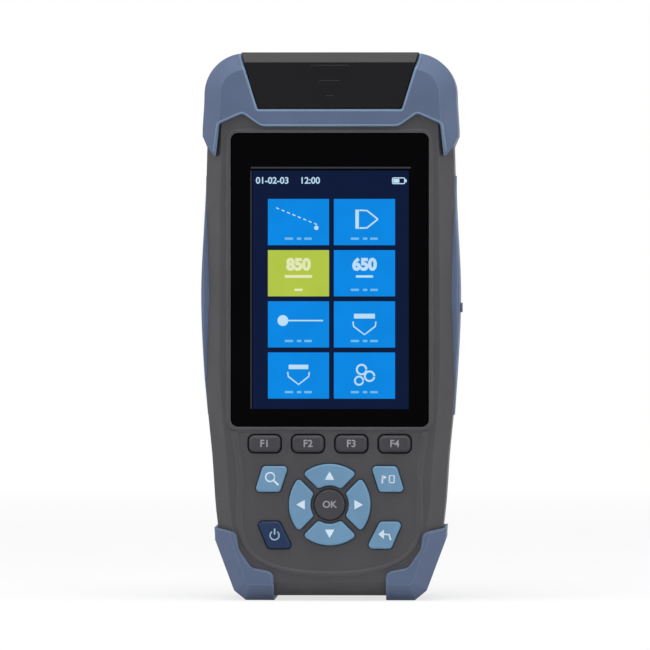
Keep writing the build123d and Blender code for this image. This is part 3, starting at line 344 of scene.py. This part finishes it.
def mark(name, outlines, y, thick, material, body):
    """Outlines of x and z that stand out of the plane y by thick, towards the user."""
    return plates(name, [(outline, y + SINK, y - thick) for outline in outlines],
                  lambda x, z, depth: (x, depth, z), material, body)


def lettering(name, words, x, z, height, y, thick, material, body, bold):
    """Generic letters or figures that stand out of the plane y by thick, centred on x and z, all in mm;
    height is a capital's, and bold widens the strokes."""
    text = bpy.data.curves.new(name, "FONT")
    text.body = words
    text.align_x = "CENTER"
    text.align_y = "CENTER"
    text.size = height * MM / CAPITAL_SHARE
    text.offset = bold * MM
    text.extrude = thick * MM / 2
    text.materials.append(material)
    piece = bpy.data.objects.new(name, text)
    bpy.context.collection.objects.link(piece)
    piece.location = (x * MM, (y - thick / 2) * MM, z * MM)
    piece.rotation_euler = (math.pi / 2, 0, 0)
    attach(piece, body)
    return piece


def front_of(node):
    """Depth in mm of a node's face towards the user."""
    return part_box(node)[0].y / MM


def middle_of(node):
    """A node's middle in mm across and up."""
    low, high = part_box(node)
    return (low.x + high.x) / 2 / MM, (low.z + high.z) / 2 / MM


# Lit display, seen in the window: all in mm
SCREEN_X, SCREEN_Z = 0.3, 97.7
SCREEN_W, SCREEN_H = 49.0, 74.8
TILE_W, TILE_H, TILE_PITCH = 19.2, 14.5, 16.05
TILE_X = (-9.8, 10.9)
TILE_TOP = 118.95
CAPTION_BARS = ((-3.0, 2.6), (0.2, 1.4), (3.0, 2.4))  # each bar's middle and width under a tile's picture
CAPTION_DROP, NUMBER_RISE, LINE_DROP = 5.2, 2.6, 1.0  # from a tile's middle
STATUS_Z = 131.9
PICTURE_THICK = 0.02
glass_y = front_of("screen_window")


def on_screen(name, outlines, layer, material):
    """Outlines on the window's face: layer 0 is the picture's ground, 1 the tiles, 2 what is on them."""
    return mark(name, outlines, glass_y - layer * PICTURE_THICK, PICTURE_THICK, material, HOUSING)


on_screen("screen_picture", [rounded_box(SCREEN_X, SCREEN_Z, SCREEN_W, SCREEN_H, 0.2)], 0, screen_navy)
# a thin grey line along the window's inner bezel, top and left, made to glow: painted light on the bezel's
# edge
on_screen("screen_edge", [rounded_box(SCREEN_X, SCREEN_Z + SCREEN_H / 2 + 0.9, SCREEN_W + 1.2, 0.5, 0.1),
                          rounded_box(SCREEN_X - SCREEN_W / 2 - 0.5, SCREEN_Z, 0.35, SCREEN_H, 0.1)],
          0, bezel_painted_glow)
tiles = {}
for row in range(4):
    for column in range(2):
        tiles[row, column] = (TILE_X[column], TILE_TOP - row * TILE_PITCH)
lime_tile = (1, 0)
on_screen("screen_tiles", [rounded_box(*place, TILE_W, TILE_H, 0.15) for key, place in tiles.items()
                           if key != lime_tile], 1, tile_blue)
on_screen("screen_tile_chosen", [rounded_box(*tiles[lime_tile], TILE_W, TILE_H, 0.15)], 1, tile_lime)

x, z = tiles[0, 0]
falling = [stroke([(x - 7 + 1.7 * i, z + 4.5 - 0.7 * i), (x - 6.1 + 1.7 * i, z + 4.1 - 0.7 * i)], 0.35)
           for i in range(8)]
falling.append(arc(x + 5.6, z - 1.8, 0.7, 0, 345))
x, z = tiles[0, 1]
arrow = [rounded_box(x - 2.3, z + 0.9, 1.1, 6.0, 0.1),
         stroke([(x - 1.6, z + 3.7), (x + 0.8, z + 3.6), (x + 4.2, z + 0.9)], 0.5),
         stroke([(x - 1.6, z - 1.9), (x + 0.8, z - 1.8), (x + 4.2, z + 0.9)], 0.5)]
x, z = tiles[2, 0]
source = [arc(x - 4.9, z + 1.2, 1.7, 0, 345), rounded_box(x + 2.2, z + 1.2, 11, 0.45, 0.1)]
x, z = tiles[2, 1]
plug_big = [rounded_box(x, z + 2.6, 6.6, 1.5, 0.2),
            stroke([(x - 3.6, z + 0.9), (x - 3.4, z - 0.6), (x, z - 3.2), (x + 3.4, z - 0.6),
                    (x + 3.6, z + 0.9)], 0.45)]
x, z = tiles[3, 0]
plug_small = [rounded_box(x, z + 2.7, 6.2, 1.4, 0.2),
              stroke([(x - 3.4, z + 1.1), (x - 3.2, z - 0.3), (x, z - 2.8), (x + 3.2, z - 0.3),
                      (x + 3.4, z + 1.1)], 0.45)]
x, z = tiles[3, 1]
gears = [stroke(arc(x - 0.9, z + 1.9, 1.5, 0, 350), 0.6), stroke(arc(x + 1.6, z - 0.2, 1.5, 0, 350), 0.6),
         stroke(arc(x - 1.7, z - 1.6, 1.3, 0, 350), 0.55)]
on_screen("screen_icons", falling + arrow + source + plug_big + plug_small + gears, 2, icon_white)

captions = []
for (row, column), (x, z) in tiles.items():
    if (row, column) != lime_tile:
        for middle, width in CAPTION_BARS:
            captions.append(rounded_box(x + middle, z - CAPTION_DROP, width, 0.7, 0.2))
on_screen("screen_captions", captions, 2, caption_blue)
x, z = tiles[lime_tile]
on_screen("screen_chosen_marks", [rounded_box(x, z - LINE_DROP, 8.6, 0.9, 0.2),
                                  rounded_box(x, z - CAPTION_DROP, 2.6, 0.7, 0.2)], 2, icon_lime)
x, z = tiles[1, 1]
on_screen("screen_number_line", [rounded_box(x, z - LINE_DROP, 5.4, 0.7, 0.2)], 2, icon_white)
mark_y = glass_y - 2 * PICTURE_THICK
for name, words, (x, z), material in (("screen_number_left", "850", tiles[1, 0], icon_lime),
                                      ("screen_number_right", "650", tiles[1, 1], icon_white)):
    lettering(name, words, x, z + NUMBER_RISE, 3.5, mark_y, PICTURE_THICK, material, HOUSING, 0.28)
for name, words, x in (("screen_date", "01-02-03", -18.0), ("screen_time", "12:00", -6.2)):
    lettering(name, words, x, STATUS_Z, 2.0, mark_y, PICTURE_THICK, icon_white, HOUSING, 0.05)
on_screen("screen_battery", [stroke(rounded_box(21.6, STATUS_Z, 3.8, 1.8, 0.3) + [(23.5, STATUS_Z + 0.6)],
                                    0.3),
                             rounded_box(20.9, STATUS_Z, 1.9, 1.2, 0.1),
                             rounded_box(23.9, STATUS_Z, 0.5, 0.9, 0.1)], 2, icon_white)

# Key legends
for number in range(1, 5):
    node = f"f{number}_key"
    x, z = middle_of(node)
    lettering(f"legend_f{number}", f"F{number}", x, z, 2.2, front_of(node), LEGEND_THICK, legend_grey,
              node, 0.06)
x, z = middle_of("ok_key")
lettering("legend_ok", "OK", x, z, 2.1, front_of("ok_key"), LEGEND_THICK, legend_grey, "ok_key", 0.06)
for node, turn in (("up_key", 0), ("left_key", 90), ("down_key", 180), ("right_key", 270)):
    x, z = middle_of(node)
    across, up = math.cos(math.radians(turn)), math.sin(math.radians(turn))
    points = [(x + a * across - b * up, z + a * up + b * across)
              for a, b in ((-1.5, -1.2), (1.5, -1.2), (0, 1.5))]
    mark(f"legend_{node}", [points], front_of(node), LEGEND_THICK, legend_white, node)

x, z = middle_of("zoom_key")
mark("legend_zoom", [stroke(arc(x - 0.4, z + 0.6, 1.4, 0, 350), 0.45),
                     stroke([(x + 0.7, z - 0.5), (x + 2.2, z - 1.9)], 0.6)],
     front_of("zoom_key"), LEGEND_THICK, legend_white, "zoom_key")
x, z = middle_of("file_key")
mark("legend_file", [stroke([(x - 1.7, z - 1.4), (x - 1.7, z + 1.2)], 0.45),
                     [(x - 1.6, z + 1.3), (x - 0.3, z + 0.6), (x - 1.6, z - 0.1)],
                     stroke([(x + 0.5, z - 1.1), (x + 0.5, z + 1.1), (x + 2.0, z + 1.1),
                             (x + 2.0, z - 1.1), (x + 0.3, z - 1.1)], 0.45)],
     front_of("file_key"), LEGEND_THICK, legend_white, "file_key")
x, z = middle_of("power_key")
mark("legend_power", [stroke(arc(x, z - 0.1, 1.4, 125, 415), 0.45),
                      rounded_box(x, z + 1.1, 0.5, 1.9, 0.1)],
     front_of("power_key"), LEGEND_THICK, legend_power, "power_key")
x, z = middle_of("back_key")
mark("legend_back", [[(x - 2.0, z + 0.3), (x - 0.2, z + 1.8), (x - 0.2, z - 1.2)],
                     stroke([(x - 0.3, z + 0.3), (x + 1.4, z + 0.2), (x + 1.9, z - 1.5)], 0.55)],
     front_of("back_key"), LEGEND_THICK, legend_white, "back_key")

# Rolled lips along the bumpers' inner edges, laid on their front surface, those on the top bumper in a
# lighter blue
# that is a painted highlight: all in mm, each path as points of x and z with the radius of its corners
LIP_RADIUS, LIP_PROUD, LIP_STEP = 0.45, 0.08, 0.4
BEND_STEPS = 6
RAY_START = -100
lip_paths = {
    "top_bumper": [
        ([(-28.39, 171.2), (-22.95, 153.85), (22.95, 153.85), (28.39, 171.2)], 0.6),
        ([(-36.3, 141.2), (-35.1, 150.2), (-27.35, 153.55), (-21.4, 149.4), (21.4, 149.4),
          (27.35, 153.55), (35.1, 150.2), (36.3, 141.2)], 1.2)],
    "lower_left_bumper": [
        ([(-18.15, 1.6), (-18.15, 8.6), (-25.0, 10.0), (-29.05, 15.9), (-29.85, 21.05), (-35.4, 22.25)],
         2.0)],
    "lower_right_bumper": [
        ([(18.15, 1.6), (18.15, 8.6), (25.0, 10.0), (29.05, 15.9), (29.85, 21.05), (35.4, 22.25)], 2.0)],
}


def rounded_path(points, radius):
    """Points every LIP_STEP along straight runs whose corners are rounded off."""
    points = [Vector(point) for point in points]
    bends = [[points[0]]]
    for before, corner, after in zip(points, points[1:], points[2:]):
        start = corner + (before - corner).normalized() * min(radius, (before - corner).length / 2)
        end = corner + (after - corner).normalized() * min(radius, (after - corner).length / 2)
        bends.append([start * (1 - t) ** 2 + corner * 2 * t * (1 - t) + end * t * t
                      for t in (i / BEND_STEPS for i in range(BEND_STEPS + 1))])
    bends.append([points[-1]])
    path = []
    for bend, following in zip(bends, bends[1:]):
        path += bend
        gap = following[0] - bend[-1]
        count = int(gap.length / LIP_STEP)
        path += [bend[-1] + gap * i / count for i in range(1, count)]
    return path + bends[-1]


for node, paths in lip_paths.items():
    surface = BVHTree.FromPolygons([vertex.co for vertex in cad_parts[node].data.vertices],
                                   [face.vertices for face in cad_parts[node].data.polygons])
    tube = bpy.data.curves.new(f"{node}_lip", "CURVE")
    tube.dimensions = "3D"
    tube.bevel_depth = LIP_RADIUS * MM
    tube.bevel_resolution = 3
    tube.use_fill_caps = True
    # the top bumper's lips are painted lighter, a painted highlight; the lower ones keep the rubber's colour
    tube.materials.append(bumper_lip_highlight if node == "top_bumper" else bumper_blue)
    for points, radius in paths:
        laid = []
        for point in rounded_path(points, radius):
            hit = surface.ray_cast(Vector((point.x, RAY_START, point.y)) * MM, Vector((0, 1, 0)))[0]
            if hit:
                laid.append((hit.x, hit.y + (LIP_RADIUS - LIP_PROUD) * MM, hit.z, 1))
        spline = tube.splines.new("POLY")
        spline.points.add(len(laid) - 1)
        for target, place in zip(spline.points, laid):
            target.co = place
    lip = bpy.data.objects.new(f"{node}_lip", tube)
    bpy.context.collection.objects.link(lip)
    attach(lip, HOUSING)

# Spring contacts in the two network sockets behind the side port cover: all in mm
CONTACT_PITCH, CONTACT_WIDTH, CONTACT_THICK = 1.02, 0.42, 0.2
CONTACT_LINE = [(36.8, -0.85), (35.2, -0.55), (29.6, 1.3), (27.4, 1.5)]  # x and y, from the mouth inwards
CONTACTS = 8
for node in ("lower_network_socket", "upper_network_socket"):
    low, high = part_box(node)
    middle = (low.z + high.z) / 2 / MM
    layers = []
    for number in range(CONTACTS):
        z = middle + (number - (CONTACTS - 1) / 2) * CONTACT_PITCH
        layers.append((stroke(CONTACT_LINE, CONTACT_THICK), z - CONTACT_WIDTH / 2, z + CONTACT_WIDTH / 2))
    plates(f"{node}_contacts", layers, lambda x, y, z: (x, y, z), gold, HOUSING)

# Floor, light and camera
FLOOR_SHADES = ((0.86, 0.86, 0.86, 1), (0.9, 0.9, 0.9, 1))
FLOOR_RADIUS = 12
WHITE_NEAR, WHITE_FAR = 0.72, 1.0  # how far the seen floor is plain white, close by and far off
NEAR_BY, FAR_OFF = 0.1, 0.9  # in metres from the object, as is the radius
WORLD_COLOUR, WORLD_STRENGTH = (0.97, 0.985, 1, 1), 0.32

floor = Material("floor_white", 0.8, 0.0)
floor.set("Base Color", floor.mix(floor.spread(floor.noise(60), 0, 1), *FLOOR_SHADES))
seen = floor.nodes.new("ShaderNodeLightPath")
glow = floor.nodes.new("ShaderNodeEmission")
blend = floor.nodes.new("ShaderNodeMixShader")
away = floor.nodes.new("ShaderNodeVectorMath")
away.operation = "LENGTH"
floor.links.new(floor.where, away.inputs[0])
whiter = floor.spread(away.outputs["Value"], WHITE_NEAR, WHITE_FAR, NEAR_BY, FAR_OFF)
either = combine(floor.nodes, floor.links, "MAXIMUM", seen.outputs["Is Camera Ray"],
                 seen.outputs["Is Glossy Ray"])
floor.links.new(combine(floor.nodes, floor.links, "MULTIPLY", either, whiter), blend.inputs["Fac"])
floor.links.new(floor.shader.outputs[0], blend.inputs[1])
floor.links.new(glow.outputs[0], blend.inputs[2])
floor.links.new(blend.outputs[0], floor.nodes["Material Output"].inputs["Surface"])

ground = bpy.data.meshes.new("ground")
disc = bmesh.new()
bmesh.ops.create_circle(disc, cap_ends=True, segments=96, radius=FLOOR_RADIUS)
disc.to_mesh(ground)
disc.free()
ground.materials.append(floor.data)
ground_piece = bpy.data.objects.new("ground", ground)
bpy.context.collection.objects.link(ground_piece)

world = bpy.data.worlds.new("studio")
world.use_nodes = True
bpy.context.scene.world = world
nodes, links = world.node_tree.nodes, world.node_tree.links
path = nodes.new("ShaderNodeLightPath")
shown = nodes["Background"]
shown.inputs["Color"].default_value = (1, 1, 1, 1)
shown.inputs["Strength"].default_value = 1.0
lighting = nodes.new("ShaderNodeBackground")
lighting.inputs["Color"].default_value = WORLD_COLOUR
lighting.inputs["Strength"].default_value = WORLD_STRENGTH
join = nodes.new("ShaderNodeMixShader")
direct = combine(nodes, links, "MAXIMUM", path.outputs["Is Camera Ray"], path.outputs["Is Glossy Ray"])
links.new(combine(nodes, links, "MAXIMUM", direct, path.outputs["Is Transmission Ray"]), join.inputs["Fac"])
links.new(lighting.outputs[0], join.inputs[1])
links.new(shown.outputs[0], join.inputs[2])
links.new(join.outputs[0], nodes["World Output"].inputs["Surface"])


def softbox(name, place, aim, size, watts):
    """A rectangular lamp, with its place, the point it is aimed at and its size in metres."""
    lamp = bpy.data.lights.new(name, "AREA")
    lamp.shape = "RECTANGLE"
    lamp.size, lamp.size_y = size
    lamp.energy = watts
    piece = bpy.data.objects.new(name, lamp)
    piece.location = place
    piece.rotation_euler = (Vector(aim) - Vector(place)).to_track_quat("-Z", "Y").to_euler()
    bpy.context.collection.objects.link(piece)


centre = (0, 0, 0.086)
softbox("key_light", (-0.5, -1.0, 0.8), centre, (0.7, 0.7), 2.8)
softbox("fill_light", (0.8, -1.0, 0.4), centre, (0.6, 0.6), 1.8)
softbox("top_light", (0, -0.15, 0.8), (0, 0, 0.17), (0.6, 0.42), 4.5)
softbox("left_light", (-0.9, -0.2, 0.25), centre, (0.4, 0.7), 3.0)
softbox("right_light", (0.9, -0.2, 0.25), centre, (0.4, 0.7), 3.0)

# Camera: a little to the right of the display's middle and above it, as in the photograph; OBJECT_X and
# OBJECT_Y say where in the picture the object's middle comes
AZIMUTH, ELEVATION = math.radians(2.0), math.radians(1.0)
FRAME_PIXELS = 650
MM_PER_PIXEL = 0.315
OBJECT_X, OBJECT_Y = 331.9, 326.0
DISTANCE = 2.4
SCALE_DEPTH = -10  # mm: the plane in front of the middle where a pixel is that wide
camera = bpy.data.cameras.new("camera")
camera.sensor_width = 36
camera.lens = camera.sensor_width / (FRAME_PIXELS * MM_PER_PIXEL * MM) * (DISTANCE + SCALE_DEPTH * MM)
viewer = bpy.data.objects.new("camera", camera)
bpy.context.collection.objects.link(viewer)
back = Vector((math.sin(AZIMUTH) * math.cos(ELEVATION), -math.cos(AZIMUTH) * math.cos(ELEVATION),
               math.sin(ELEVATION)))
turn = (-back).to_track_quat("-Z", "Y")
right, up = turn @ Vector((1, 0, 0)), turn @ Vector((0, 1, 0))
aim = Vector(centre) - right * (OBJECT_X - FRAME_PIXELS / 2) * MM_PER_PIXEL * MM
aim += up * (OBJECT_Y - FRAME_PIXELS / 2) * MM_PER_PIXEL * MM
viewer.location = aim + back * DISTANCE
viewer.rotation_euler = turn.to_euler()
camera.clip_start, camera.clip_end = 0.05, 60
bpy.context.scene.camera = viewer

bpy.context.scene.view_settings.view_transform = "Standard"
